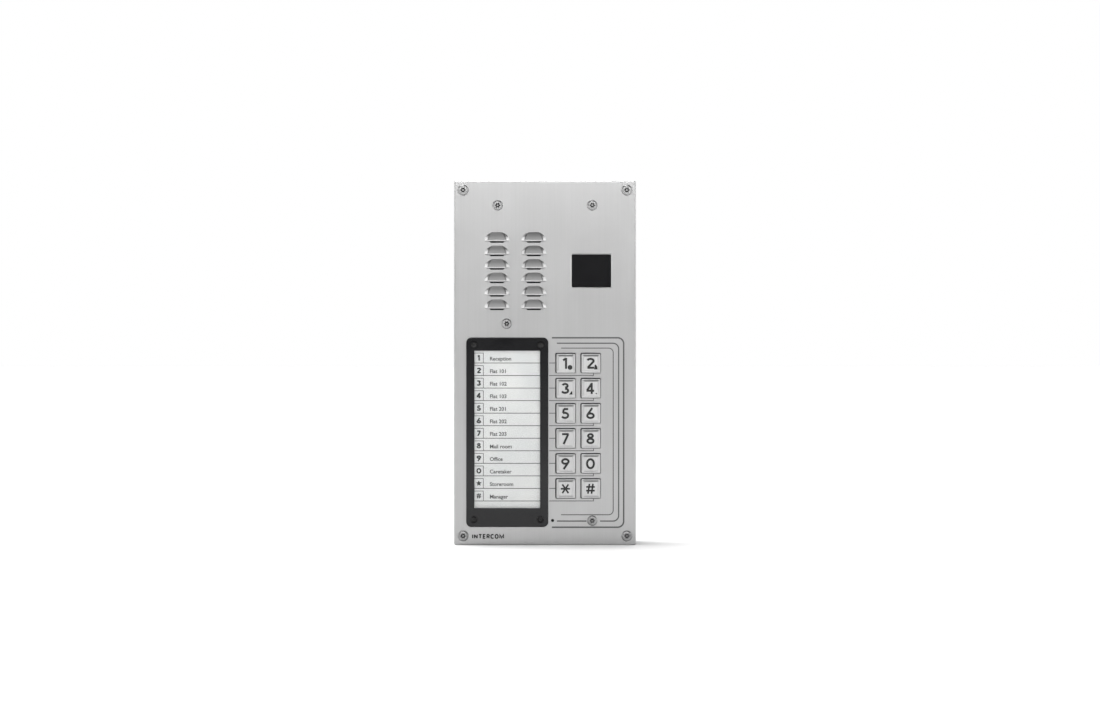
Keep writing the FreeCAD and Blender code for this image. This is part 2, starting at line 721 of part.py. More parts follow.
def make_speaker_yoke():
    """The steel front plate, and the back plate with its pole."""
    front = ring(SPEAKER_X, SPEAKER_Z, 14.5, 5.4, BASKET_FLOOR + 0.8, BASKET_FLOOR + 2.8)
    back = rod(SPEAKER_X, SPEAKER_Z, 14.5, BASKET_FLOOR + 7.8, BASKET_FLOOR + 9.8)
    pole = rod(SPEAKER_X, SPEAKER_Z, 4.5, BASKET_FLOOR + 0.8, BASKET_FLOOR + 7.8)
    return apart([front, together([back, pole])])


def make_speaker_clips():
    clips = []
    for angle, (x, z) in zip(SPEAKER_CLIP_ANGLES, SPEAKER_STUDS):
        plate = slab(x - 1.15, z, 11.3, 8.0, SPEAKER_FLANGE_END, CLIP_END, 1.0)
        foot = slab(x + 3.5, z, 2.0, 8.0, PLATE_BACK, SPEAKER_FLANGE_END)
        clip = together([plate, foot]).cut(rod(x, z, 1.7, SPEAKER_FLANGE_END - 1, CLIP_END + 1))
        clip.rotate(at(x, 0, z), Vector(0, 1, 0), -angle)
        clips.append(clip)
    return apart(clips)


# ---- camera ---------------------------------------------------------------------------------
def window_slab(margin, start, end, radius):
    """A flat piece that is this much larger all told than the camera's opening."""
    return slab(WINDOW_X, WINDOW_Z, WINDOW_WIDTH + margin, WINDOW_HEIGHT + margin, start, end, radius)


def make_camera_window():
    """A smoked pane: a raised land in the faceplate's opening and a flange behind it."""
    land = window_slab(-0.3, PANE_RECESS, CAMERA_GASKET_END, 0.6)
    flange = window_slab(5.4, CAMERA_GASKET_END, PANE_END, 1.0)
    return together([land, flange])


def make_camera_gasket():
    outer = window_slab(5.4, PLATE_BACK, CAMERA_GASKET_END, 1.0)
    return outer.cut(window_slab(0.4, PLATE_BACK, CAMERA_GASKET_END, 0.6))


def make_camera_shroud():
    """A moulded tube that clamps the pane and carries the camera board."""
    flange = slab(WINDOW_X, WINDOW_Z, 36.0, 48.0, PANE_END, SHROUD_FLANGE_END, 3.0)
    tube = slab(WINDOW_X, WINDOW_Z, 36.0, 32.0, SHROUD_FLANGE_END, CAMERA_BOARD_DEPTH, 2.0)
    bore = slab(WINDOW_X, WINDOW_Z, 33.0, 29.0, SHROUD_FLANGE_END, CAMERA_BOARD_DEPTH + 1, 1.0)
    view = slab(WINDOW_X, WINDOW_Z, WINDOW_WIDTH, WINDOW_HEIGHT, PANE_END - 1, SHROUD_FLANGE_END + 1, 0.8)
    holes = [rod(x, z, 1.7, PANE_END - 1, SHROUD_FLANGE_END + 1) for x, z in CAMERA_STUDS]
    return together([flange, tube]).cut([bore, view] + holes)


def make_camera_board():
    return slab(WINDOW_X, WINDOW_Z, 36.0, 32.0, CAMERA_BOARD_DEPTH, CAMERA_BOARD_END, 2.0)


def make_camera_lens_barrel():
    base = slab(WINDOW_X, WINDOW_Z, 15.0, 15.0, 11.0, CAMERA_BOARD_DEPTH, 1.0)
    barrel = rod(WINDOW_X, WINDOW_Z, 7.0, 6.4, 11.0)
    mouth = turned(WINDOW_X, WINDOW_Z, [(0, 6.0), (5.6, 6.0), (4.1, 8.0), (4.1, 12.0), (0, 12.0)])
    return together([base, barrel]).cut(mouth)


def make_camera_lens():
    profile = [(0, 11.9), (4.0, 11.9), (4.0, 8.2), ((2.2, 7.4), (0.4, 7.1)), (0, 7.1)]
    return turned(WINDOW_X, WINDOW_Z, profile)


def make_camera_lights():
    """Four night lights around the lens."""
    lights = []
    for i, j in CORNERS:
        x = WINDOW_X + i * 11.5
        z = WINDOW_Z + j * 9.0
        lights.append(
            turned(
                x,
                z,
                [
                    (0, CAMERA_BOARD_DEPTH),
                    (2.8, CAMERA_BOARD_DEPTH),
                    (2.8, CAMERA_BOARD_DEPTH - 1.0),
                    (2.5, CAMERA_BOARD_DEPTH - 1.0),
                    (2.5, 10.0),
                    ((1.8, 8.2), (0.4, 7.5)),
                    (0, 7.5),
                ],
            )
        )
    return apart(lights)


# ---- microphone -----------------------------------------------------------------------------
def make_microphone_boot():
    bore = MICROPHONE_HOLE + 0.2
    profile = [(bore, PLATE_BACK), (4.7, PLATE_BACK), (4.7, 9.0), (3.05, 9.0), (3.05, 3.5), (bore, 3.5)]
    return turned(MICROPHONE_X, MICROPHONE_Z, profile)


def make_microphone_capsule():
    return rod(MICROPHONE_X, MICROPHONE_Z, 3.0, 3.5, 8.6)


# ---- main board -----------------------------------------------------------------------------
def board_supports():
    return CHASSIS_SCREWS + [HIDDEN_STUD]


def make_board_standoffs():
    standoffs = []
    for x, z in board_supports():
        body = hexagon(x, z, 7.0, PLATE_BACK, BOARD_DEPTH)
        front = rod(x, z, SCREW_RADIUS + THREAD_GAP, PLATE_BACK, 12.0)
        back = rod(x, z, SCREW_RADIUS + THREAD_GAP, 20.0, BOARD_DEPTH)
        standoffs.append(body.cut([front, back]))
    return apart(standoffs)


def make_board_screws():
    screws = []
    for x, z in board_supports():
        top = BOARD_BACK + 2.2
        foot = BOARD_BACK
        dome = ((2.9, top - 0.4), (1.8, top))
        head = turned(x, z, [(0, foot), (3.6, foot), (3.6, foot + 0.8), dome, (0, top)])
        slots = []
        for width, height in ((0.8, 3.4), (3.4, 0.8)):
            slots.append(slab(x, z, width, height, BOARD_BACK + 1.0, top + 1))
        screws.append(together([head.cut(slots), rod(x, z, SCREW_RADIUS, 22.0, BOARD_BACK)]))
    return apart(screws)


def make_main_board():
    board = slab(0, 0, BOARD_WIDTH, BOARD_HEIGHT, BOARD_DEPTH, BOARD_BACK, 2.0)
    holes = [rod(x, z, SCREW_HOLE_RADIUS, BOARD_DEPTH - 1, BOARD_BACK + 1) for x, z in board_supports()]
    return board.cut(holes)


TERMINAL_WAYS = 10
TERMINAL_PITCH = 5.08
TERMINAL_Z = -88.0


def terminal_places():
    first = -TERMINAL_PITCH * (TERMINAL_WAYS - 1) / 2
    return [first + number * TERMINAL_PITCH for number in range(TERMINAL_WAYS)]


def make_terminal_block():
    block = slab(0, TERMINAL_Z, TERMINAL_PITCH * TERMINAL_WAYS, 8.2, BOARD_BACK, BOARD_BACK + 10.0, 0.5)
    holes = []
    for x in terminal_places():
        holes.append(rod(x, TERMINAL_Z + 0.8, 1.9, BOARD_BACK + 6.5, BOARD_BACK + 11))
        entry = Part.makeBox(3.4, 3.4, 4.0)
        entry.translate(at(x - 1.7, BOARD_BACK + 1.2, TERMINAL_Z - 4.6))
        holes.append(entry)
    return block.cut(holes)


def make_terminal_screws():
    screws = []
    for x in terminal_places():
        screw = rod(x, TERMINAL_Z + 0.8, 1.8, BOARD_BACK + 6.5, BOARD_BACK + 9.0)
        screws.append(screw.cut(slab(x, TERMINAL_Z + 0.8, 0.6, 5.0, BOARD_BACK + 8.2, BOARD_BACK + 10)))
    return apart(screws)


def make_relay():
    relay = slab(26.0, -45.0, 15.6, 19.0, BOARD_BACK, BOARD_BACK + 15.4, 0.8)
    return relay.makeFillet(0.6, edges_at(relay, BOARD_BACK + 15.4))


def make_capacitors():
    cans = []
    large = (5.0, 16.0)
    small = (4.0, 11.5)
    for x, z, (radius, height) in ((-30.0, -50.0, large), (-16.0, -50.0, large), (-30.0, -34.0, small)):
        can = rod(x, z, radius, BOARD_BACK, BOARD_BACK + height)
        cans.append(can.makeFillet(0.6, edges_at(can, BOARD_BACK + height)))
    return apart(cans)


def make_processor_chips():
    chips = [slab(0, 0, 14.0, 14.0, BOARD_BACK, BOARD_BACK + 1.5, 0.3)]
    for x in (-22.0, 22.0):
        chips.append(slab(x, 4.0, 6.2, 10.2, BOARD_BACK, BOARD_BACK + 1.6, 0.2))
    return apart(chips)


TRIMMERS = [(-20.0, 92.0), (20.0, 92.0)]
TRIMMER_END = BOARD_BACK + 5.0


def make_trimmer_bodies():
    bodies = []
    for x, z in TRIMMERS:
        body = slab(x, z, 9.6, 9.6, BOARD_BACK, TRIMMER_END, 0.5)
        bodies.append(body.cut(rod(x, z, 3.1, BOARD_BACK + 1.4, TRIMMER_END + 1)))
    return apart(bodies)


def make_trimmer_rotor(x, z):
    rotor = rod(x, z, 3.05, BOARD_BACK + 1.45, TRIMMER_END + 0.3)
    return rotor.cut(slab(x, z, 0.8, 7.0, TRIMMER_END - 0.7, TRIMMER_END + 1))


# ---- wiring between the boards --------------------------------------------------------------
KEYPAD_PLUG_DEPTH = KEYPAD_BOARD_END
CAMERA_PLUG_DEPTH = CAMERA_BOARD_END
LEAD_SOCKET_DEPTH = BOARD_DEPTH - 4.0
SPEAKER_LEAD_X = SPEAKER_X + 20.6
LEAD_SHIFT = 6.0


def make_board_connectors():
    """Flat-cable connectors in facing pairs, and one socket for each pair of leads."""
    pieces = [
        slab(KEYPAD_X, KEYPAD_Z, 6.0, 14.0, KEYPAD_PLUG_DEPTH, KEYPAD_PLUG_DEPTH + 2.6, 0.3),
        slab(KEYPAD_X, KEYPAD_Z, 6.0, 14.0, BOARD_DEPTH - 2.6, BOARD_DEPTH, 0.3),
        slab(WINDOW_X, WINDOW_Z, 6.0, 14.0, CAMERA_PLUG_DEPTH, CAMERA_PLUG_DEPTH + 2.6, 0.3),
        slab(WINDOW_X, WINDOW_Z, 6.0, 14.0, BOARD_DEPTH - 2.6, BOARD_DEPTH, 0.3),
        slab(SPEAKER_LEAD_X + LEAD_SHIFT, SPEAKER_Z, 6.0, 10.0, LEAD_SOCKET_DEPTH, BOARD_DEPTH, 0.3),
        slab(MICROPHONE_X + LEAD_SHIFT, MICROPHONE_Z, 8.0, 5.0, LEAD_SOCKET_DEPTH, BOARD_DEPTH, 0.3),
    ]
    return apart(pieces)


def flat_cable(x, z, start, end, reach):
    """A flat cable that leaves one connector sideways, turns back and enters the facing one."""
    side = x + 3.0
    points = [
        at(side, start, z),
        at(side + reach, start, z),
        at(side + reach, end, z),
        at(side, end, z),
    ]
    half = 5.0
    sheet = 0.15
    corners = [(start - sheet, -half), (start + sheet, -half), (start + sheet, half), (start - sheet, half)]
    section = [at(side, d, z + h) for d, h in corners]
    return swept(rounded_path(points, 3.0), Part.makePolygon(section + section[:1]))


def make_flat_cables():
    keypad = flat_cable(KEYPAD_X, KEYPAD_Z, KEYPAD_PLUG_DEPTH + 1.8, BOARD_DEPTH - 1.3, 12.0)
    camera = flat_cable(WINDOW_X, WINDOW_Z, CAMERA_PLUG_DEPTH + 1.3, BOARD_DEPTH - 1.3, 9.0)
    return apart([keypad, camera])


def lead(x, z, start):
    """One insulated wire that steps sideways on its way to its socket on the main board."""
    points = [
        at(x, start, z),
        at(x, start + 3.4, z),
        at(x + LEAD_SHIFT, start + 6.4, z),
        at(x + LEAD_SHIFT, LEAD_SOCKET_DEPTH, z),
    ]
    circle = Part.makeCircle(0.6, points[0], Vector(0, 1, 0))
    return swept(rounded_path(points, 2.5), Part.Wire(circle))


def make_signal_leads():
    leads = [lead(SPEAKER_LEAD_X, SPEAKER_Z + way * 2.5, 14.2) for way in (-1, 1)]
    leads += [lead(MICROPHONE_X + way * 1.2, MICROPHONE_Z, 8.6) for way in (-1, 1)]
    return apart(leads)


# ---- all the pieces -------------------------------------------------------------------------
def make_pieces():
    pieces = {
        "faceplate": make_faceplate(),
        "faceplate_screws": make_faceplate_screws(),
        "faceplate_gasket": make_faceplate_gasket(),
        "plate_studs": make_plate_studs(),
        "stud_nuts": make_stud_nuts(),
        "chassis_screws": make_chassis_screws(),
        "board_standoffs": make_board_standoffs(),
        "board_screws": make_board_screws(),
        "back_box": make_back_box(),
        "box_clinch_nuts": make_box_nuts(),
        "cable_grommet": make_cable_grommet(),
        "directory_bezel": make_directory_bezel(),
        "directory_window": make_directory_window(),
        "directory_card": make_directory_card(),
        "bezel_screws": make_bezel_screws(),
        "bezel_clinch_nuts": make_bezel_nuts(),
        "keypad_housing": make_keypad_housing(),
        "keypad_membrane": make_keypad_membrane(),
        "keypad_board": make_keypad_board(),
        "keypad_backplate": make_keypad_backplate(),
        "speaker_weather_membrane": make_speaker_membrane(),
        "speaker_gasket": make_speaker_gasket(),
        "speaker_basket": make_speaker_basket(),
        "speaker_cone": make_speaker_cone(),
        "speaker_magnet": make_speaker_magnet(),
        "speaker_yoke": make_speaker_yoke(),
        "speaker_clips": make_speaker_clips(),
        "camera_window": make_camera_window(),
        "camera_gasket": make_camera_gasket(),
        "camera_shroud": make_camera_shroud(),
        "camera_board": make_camera_board(),
        "camera_lens_barrel": make_camera_lens_barrel(),
        "camera_lens": make_camera_lens(),
        "camera_lights": make_camera_lights(),
        "microphone_boot": make_microphone_boot(),
        "microphone_capsule": make_microphone_capsule(),
        "main_board": make_main_board(),
        "terminal_block": make_terminal_block(),
        "terminal_screws": make_terminal_screws(),
        "relay": make_relay(),
        "capacitors": make_capacitors(),
        "processor_chips": make_processor_chips(),
        "trimmer_bodies": make_trimmer_bodies(),
        "speaker_volume_rotor": make_trimmer_rotor(*TRIMMERS[0]),
        "microphone_gain_rotor": make_trimmer_rotor(*TRIMMERS[1]),
        "board_connectors": make_board_connectors(),
        "flat_cables": make_flat_cables(),
        "signal_leads": make_signal_leads(),
    }
    for name, x, z in key_places():
        pieces["key_" + name] = make_key(x + KEY_HANG, z - KEY_HANG)
    return pieces


def main():
    os.makedirs("parts", exist_ok=True)
    for name, shape in make_pieces().items():
        solids = shape.Solids
        if not solids or not shape.isValid() or min(solid.Volume for solid in solids) <= 0:
            raise RuntimeError(name + " is not a set of valid closed solids")
        shape.exportStep(os.path.join("parts", name + ".step"))
        print(name, len(solids), round(sum(solid.Volume for solid in solids), 1))


main()
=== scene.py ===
"""The looks of the door intercom panel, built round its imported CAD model.

Everything is in metres in the CAD frame: +X to the right as seen from the front, +Y into the
wall and +Z up. The print is laid out in millimetres from the faceplate's centre.
"""
import json
import math

import bmesh
import bpy
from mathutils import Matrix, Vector


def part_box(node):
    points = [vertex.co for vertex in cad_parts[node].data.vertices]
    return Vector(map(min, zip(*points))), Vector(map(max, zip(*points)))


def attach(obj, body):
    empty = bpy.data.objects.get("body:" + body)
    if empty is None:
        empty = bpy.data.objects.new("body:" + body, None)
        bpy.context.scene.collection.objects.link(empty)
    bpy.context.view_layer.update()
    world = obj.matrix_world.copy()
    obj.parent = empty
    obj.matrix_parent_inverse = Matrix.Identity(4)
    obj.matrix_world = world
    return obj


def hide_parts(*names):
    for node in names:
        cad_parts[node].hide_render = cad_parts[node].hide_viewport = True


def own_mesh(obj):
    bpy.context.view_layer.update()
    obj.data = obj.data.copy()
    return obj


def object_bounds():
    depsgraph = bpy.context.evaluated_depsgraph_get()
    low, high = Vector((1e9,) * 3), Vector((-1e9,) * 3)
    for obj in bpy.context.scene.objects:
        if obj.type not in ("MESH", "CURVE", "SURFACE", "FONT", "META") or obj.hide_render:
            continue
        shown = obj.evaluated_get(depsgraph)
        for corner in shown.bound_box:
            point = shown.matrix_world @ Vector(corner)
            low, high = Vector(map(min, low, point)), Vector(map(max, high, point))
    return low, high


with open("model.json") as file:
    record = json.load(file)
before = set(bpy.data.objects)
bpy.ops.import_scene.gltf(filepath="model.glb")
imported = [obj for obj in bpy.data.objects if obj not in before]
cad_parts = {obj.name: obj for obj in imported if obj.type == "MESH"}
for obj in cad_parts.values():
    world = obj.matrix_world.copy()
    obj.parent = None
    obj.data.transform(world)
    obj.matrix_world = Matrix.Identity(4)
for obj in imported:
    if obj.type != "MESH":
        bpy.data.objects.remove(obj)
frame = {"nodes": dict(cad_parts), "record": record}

MM = 0.001
CAD_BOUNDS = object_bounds()

# ---- where things are -----------------------------------------------------------------------
PLATE_THICKNESS = 2.0 * MM
PLATE_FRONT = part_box("faceplate_gasket")[0].y - PLATE_THICKNESS
CARD_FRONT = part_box("directory_card")[0].y
KEY_NAMES = ["1", "2", "3", "4", "5", "6", "7", "8", "9", "0", "star", "hash"]

ROW_PITCH = 8.75  # from one row of the directory to the next
CARD_LEFT = -49.3
CARD_RIGHT = -3.3
INDEX_RIGHT = -43.0
INDEX_HEIGHT = 6.9
INDEX_MIDDLE = 3.55  # above the row's line
NAME_LEFT = -38.6
NAME_BASELINE = 1.75  # above the row's line

# The three brackets beside the directory: left, right, top, bottom and corner radius.
OUTER_BRACKET = (4.8, 54.9, 17.6, -114.6, 4.2)
MIDDLE_BRACKET = (8.3, 51.4, 13.8, -110.3, 3.9)
INNER_BRACKET = (11.2, 47.6, 10.4, -105.9, 3.2)
BRACKET_BREAK = (29.0, 38.4)  # the break in the middle bracket's lower side
TICK_LEFT = 2.9  # where each row's line starts
SHORT_TICK = 7.2  # where it ends on every other row
LONG_TICK = 33.8  # where it ends on the rows between, which turn up there
TICK_RISE = 1.55

INK_DEPTH = 0.035  # how far print stands off the surface under it
INK_SINK = 0.004  # how far it reaches into that surface
LAYER_STEP = 0.0006  # how much two shapes that cross differ in height
LAYERS = 12  # how many such heights there are
CAP_HEIGHT = 0.729  # of the built-in font at size 1
LETTER_GAP = 0.45

KEY_HANG = 0.22 * MM  # a key sits this far down and to the right of its dome's centre
DOME_GAP = 0.01 * MM  # between a key's dome and the silicone sheet
DOME_TOP = 2.8 * MM  # radius of its flat top
DOME_FOOT = 4.6 * MM  # radius of its foot outside
DOME_HOLLOW = 3.1 * MM  # radius of its foot inside
DOME_ROOF_RADIUS = 2.3 * MM  # radius of its top inside
DOME_ROOF = 0.5 * MM  # thickness of its top
PILL_RADIUS = 1.4 * MM
PILL_FOOT = 0.9 * MM  # how far below the dome's top its contact pill ends
SHEET_RECESS = 0.3 * MM  # how far the sheet's hollows lie behind its front
LEVEL = 0.01 * MM  # vertices this near a plane are on it
WELD = 0.001 * MM  # vertices nearer than this are one
CREASE = math.radians(32)  # edges sharper than this stay crisp

FRONT_LIGHT = 0.27  # how bright the studio is behind the camera
VIEW_WIDTH = 767.58 * MM  # how wide the picture is where the faceplate stands


# ---- materials ------------------------------------------------------------------------------
class Surface:
    """A Principled material whose colour, roughness and relief come from procedural textures."""

    def __init__(self, name, **constants):
        self.material = bpy.data.materials.new(name)
        self.material.use_nodes = True
        self.nodes = self.material.node_tree.nodes
        self.links = self.material.node_tree.links
        self.nodes.clear()
        self.shader = self.nodes.new("ShaderNodeBsdfPrincipled")
        output = self.nodes.new("ShaderNodeOutputMaterial")
        self.links.new(self.shader.outputs[0], output.inputs[0])
        self.place = self.nodes.new("ShaderNodeTexCoord").outputs["Object"]
        for label, value in constants.items():
            self.shader.inputs[label.replace("_", " ")].default_value = value

    def mapped(self, periods_per_mm):
        """Object coordinates, scaled so that one unit is one period along each axis."""
        mapping = self.nodes.new("ShaderNodeMapping")
        mapping.inputs["Scale"].default_value = [value / MM for value in periods_per_mm]
        self.links.new(self.place, mapping.inputs["Vector"])
        return mapping.outputs["Vector"]

    def noise(self, periods_per_mm, detail=2.0, distortion=0.0):
        texture = self.nodes.new("ShaderNodeTexNoise")
        texture.inputs["Scale"].default_value = 1.0
        texture.inputs["Detail"].default_value = detail
        texture.inputs["Distortion"].default_value = distortion
        self.links.new(self.mapped(periods_per_mm), texture.inputs["Vector"])
        return texture.outputs["Fac"]

    def cells(self, periods_per_mm, feature="F1"):
        texture = self.nodes.new("ShaderNodeTexVoronoi")
        texture.feature = feature
        texture.inputs["Scale"].default_value = 1.0
        self.links.new(self.mapped(periods_per_mm), texture.inputs["Vector"])
        return texture.outputs["Distance"]

    def waves(self, periods_per_mm, direction, distortion=0.0):
        texture = self.nodes.new("ShaderNodeTexWave")
        texture.bands_direction = direction
        texture.inputs["Scale"].default_value = 1.0
        texture.inputs["Distortion"].default_value = distortion
        self.links.new(self.mapped(periods_per_mm), texture.inputs["Vector"])
        return texture.outputs["Fac"]

    def ranged(self, value, low, high, start=0.3, end=0.7):
        """Maps a texture from start..end to low..high."""
        node = self.nodes.new("ShaderNodeMapRange")
        settings = {"From Min": start, "From Max": end, "To Min": low, "To Max": high}
        for label, number in settings.items():
            node.inputs[label].default_value = number
        self.links.new(value, node.inputs["Value"])
        return node.outputs["Result"]

    def multiplied(self, first, second):
        node = self.nodes.new("ShaderNodeMath")
        node.operation = "MULTIPLY"
        self.links.new(first, node.inputs[0])
        self.links.new(second, node.inputs[1])
        return node.outputs[0]

    def blended(self, factor, first, second):
        node = self.nodes.new("ShaderNodeMix")
        node.data_type = "RGBA"
        self.links.new(factor, node.inputs["Factor"])
        for socket, value in ((node.inputs[6], first), (node.inputs[7], second)):
            if isinstance(value, bpy.types.NodeSocket):
                self.links.new(value, socket)
            else:
                socket.default_value = (*value, 1.0)
        return node.outputs[2]

    def colour(self, socket):
        self.links.new(socket, self.shader.inputs["Base Color"])

    def roughness(self, value, low, high):
        self.links.new(self.ranged(value, low, high), self.shader.inputs["Roughness"])

    def relief(self, *layers):
        """Each layer is a texture and its depth in millimetres."""
        below = None
        for height, depth in layers:
            node = self.nodes.new("ShaderNodeBump")
            node.inputs["Strength"].default_value = 1.0
            node.inputs["Distance"].default_value = depth * MM
            self.links.new(height, node.inputs["Height"])
            if below:
                self.links.new(below, node.inputs["Normal"])
            below = node.outputs["Normal"]
        self.links.new(below, self.shader.inputs["Normal"])


def grey(value):
    return (value, value, value)


def brushed_steel(name, bright, dark, smooth, rough):
    """Stainless sheet brushed up and down, with faint broad streaks and handling marks."""
    surface = Surface(name, Metallic=1.0, Anisotropic=0.45)
    tangent = surface.nodes.new("ShaderNodeTangent")
    tangent.direction_type = "RADIAL"
    tangent.axis = "Z"
    surface.links.new(tangent.outputs[0], surface.shader.inputs["Tangent"])
    broad = surface.noise((0.16, 0.16, 0.006), detail=3.0)
    middle = surface.noise((1.1, 1.1, 0.012), detail=3.0)
    fine = surface.noise((5.5, 5.5, 0.05), detail=2.0)
    marks = surface.noise((0.03, 0.03, 0.025), detail=4.0, distortion=0.6)
    streaks = surface.blended(surface.ranged(broad, 0.25, 0.75), grey(0.0), grey(1.0))
    tone = surface.blended(surface.ranged(middle, 0.0, 1.0), dark, bright)
    surface.colour(surface.blended(surface.ranged(streaks, 0.0, 0.3), tone, bright))
    surface.roughness(surface.blended(surface.ranged(fine, 0.2, 0.8), marks, middle), smooth, rough)
    surface.relief((middle, 0.0002), (fine, 0.0009))
    return surface.material


def turned_metal(name, bright, dark, smooth, rough, period=3.0, depth=0.002):
    surface = Surface(name, Metallic=1.0)
    grain = surface.noise((period, period, period), detail=4.0)
    patches = surface.noise((0.25, 0.25, 0.25), detail=3.0)
    surface.colour(surface.blended(surface.ranged(patches, 0.0, 1.0), dark, bright))
    surface.roughness(grain, smooth, rough)
    surface.relief((grain, depth))
    return surface.material


def moulded(name, bright, dark, smooth, rough, period=2.2, depth=0.006, **constants):
    surface = Surface(name, **constants)
    spark = surface.cells((period, period, period))
    patches = surface.noise((0.12, 0.12, 0.12), detail=4.0)
    surface.colour(surface.blended(surface.ranged(patches, 0.0, 1.0), dark, bright))
    surface.roughness(surface.noise((0.5, 0.5, 0.5), detail=3.0), smooth, rough)
    surface.relief((spark, depth))
    return surface.material


def powder_coat(name):
    """Fine-textured black powder coat with a few rubbed patches."""
    surface = Surface(name, Coat_Weight=0.05)
    grain = surface.noise((3.2, 3.2, 3.2), detail=3.0)
    peel = surface.noise((0.55, 0.55, 0.55), detail=2.0)
    patches = surface.noise((0.035, 0.035, 0.035), detail=5.0)
    rubbed = surface.ranged(patches, 0.0, 1.0)
    surface.colour(surface.blended(rubbed, grey(0.022), (0.042, 0.042, 0.045)))
    surface.roughness(patches, 0.42, 0.58)
    surface.relief((peel, 0.05), (grain, 0.04))
    return surface.material


def polished_black(name):
    """Glossy moulded plastic with faint dust and polishing haze."""
    surface = Surface(name, IOR=1.4)
    haze = surface.noise((0.05, 0.05, 0.05), detail=5.0, distortion=0.4)
    dust = surface.cells((0.9, 0.9, 0.9))
    specks = surface.ranged(dust, 1.0, 0.0, 0.02, 0.1)
    surface.colour(surface.blended(specks, (0.004, 0.004, 0.005), grey(0.02)))
    surface.roughness(haze, 0.06, 0.14)
    surface.relief((haze, 0.02))
    return surface.material


def pane(name, tint, alpha, smooth, rough):
    surface = Surface(name, IOR=1.4, Alpha=alpha)
    haze = surface.noise((0.06, 0.06, 0.06), detail=4.0)
    paler = [min(1.0, value * 1.2) for value in tint]
    surface.colour(surface.blended(surface.ranged(haze, 0.0, 1.0), tint, paler))
    surface.roughness(haze, smooth, rough)
    surface.material.surface_render_method = "BLENDED"
    return surface.material


def card_stock(name):
    surface = Surface(name, IOR=1.4)
    fibres = surface.noise((1.6, 1.6, 0.5), detail=5.0)
    patches = surface.noise((0.04, 0.04, 0.04), detail=2.0)
    aged = surface.ranged(patches, 0.0, 1.0)
    surface.colour(surface.blended(aged, (0.68, 0.69, 0.69), (0.75, 0.75, 0.74)))
    surface.roughness(fibres, 0.5, 0.75)
    surface.relief((fibres, 0.008))
    return surface.material


def ink(name, bright, dark, smooth=0.35, rough=0.6):
    surface = Surface(name, IOR=1.45)
    speckle = surface.noise((2.5, 2.5, 2.5), detail=4.0)
    surface.colour(surface.blended(surface.ranged(speckle, 0.0, 1.0), dark, bright))
    surface.roughness(speckle, smooth, rough)
    surface.relief((speckle, 0.004))
    return surface.material


def laminate(name):
    """Solder mask over copper tracks."""
    surface = Surface(name, Coat_Weight=0.4, Coat_Roughness=0.15)
    tracks = surface.cells((0.22, 0.22, 0.22), feature="DISTANCE_TO_EDGE")
    weave = surface.waves((0.5, 0.5, 0.5), "DIAGONAL", distortion=1.0)
    on_track = surface.ranged(tracks, 1.0, 0.0, 0.03, 0.06)
    surface.colour(surface.blended(on_track, (0.010, 0.075, 0.035), (0.022, 0.15, 0.06)))
    surface.roughness(weave, 0.25, 0.4)
    surface.relief((on_track, 0.03))
    return surface.material


def woven(name):
    surface = Surface(name, Sheen_Weight=0.2)
    across = surface.waves((1.2, 1.2, 1.2), "X")
    along = surface.waves((1.2, 1.2, 1.2), "Z")
    weave = surface.multiplied(across, along)
    surface.colour(surface.blended(weave, grey(0.006), grey(0.03)))
    surface.roughness(weave, 0.7, 0.95)
    surface.relief((weave, 0.05))
    return surface.material


def rubber(name, bright, dark):
    surface = Surface(name, IOR=1.45)
    grain = surface.noise((2.0, 2.0, 2.0), detail=5.0)
    bloom = surface.noise((0.1, 0.1, 0.1), detail=4.0)
    surface.colour(surface.blended(surface.ranged(bloom, 0.0, 1.0), dark, bright))
    surface.roughness(grain, 0.6, 0.85)
    surface.relief((grain, 0.015))
    return surface.material


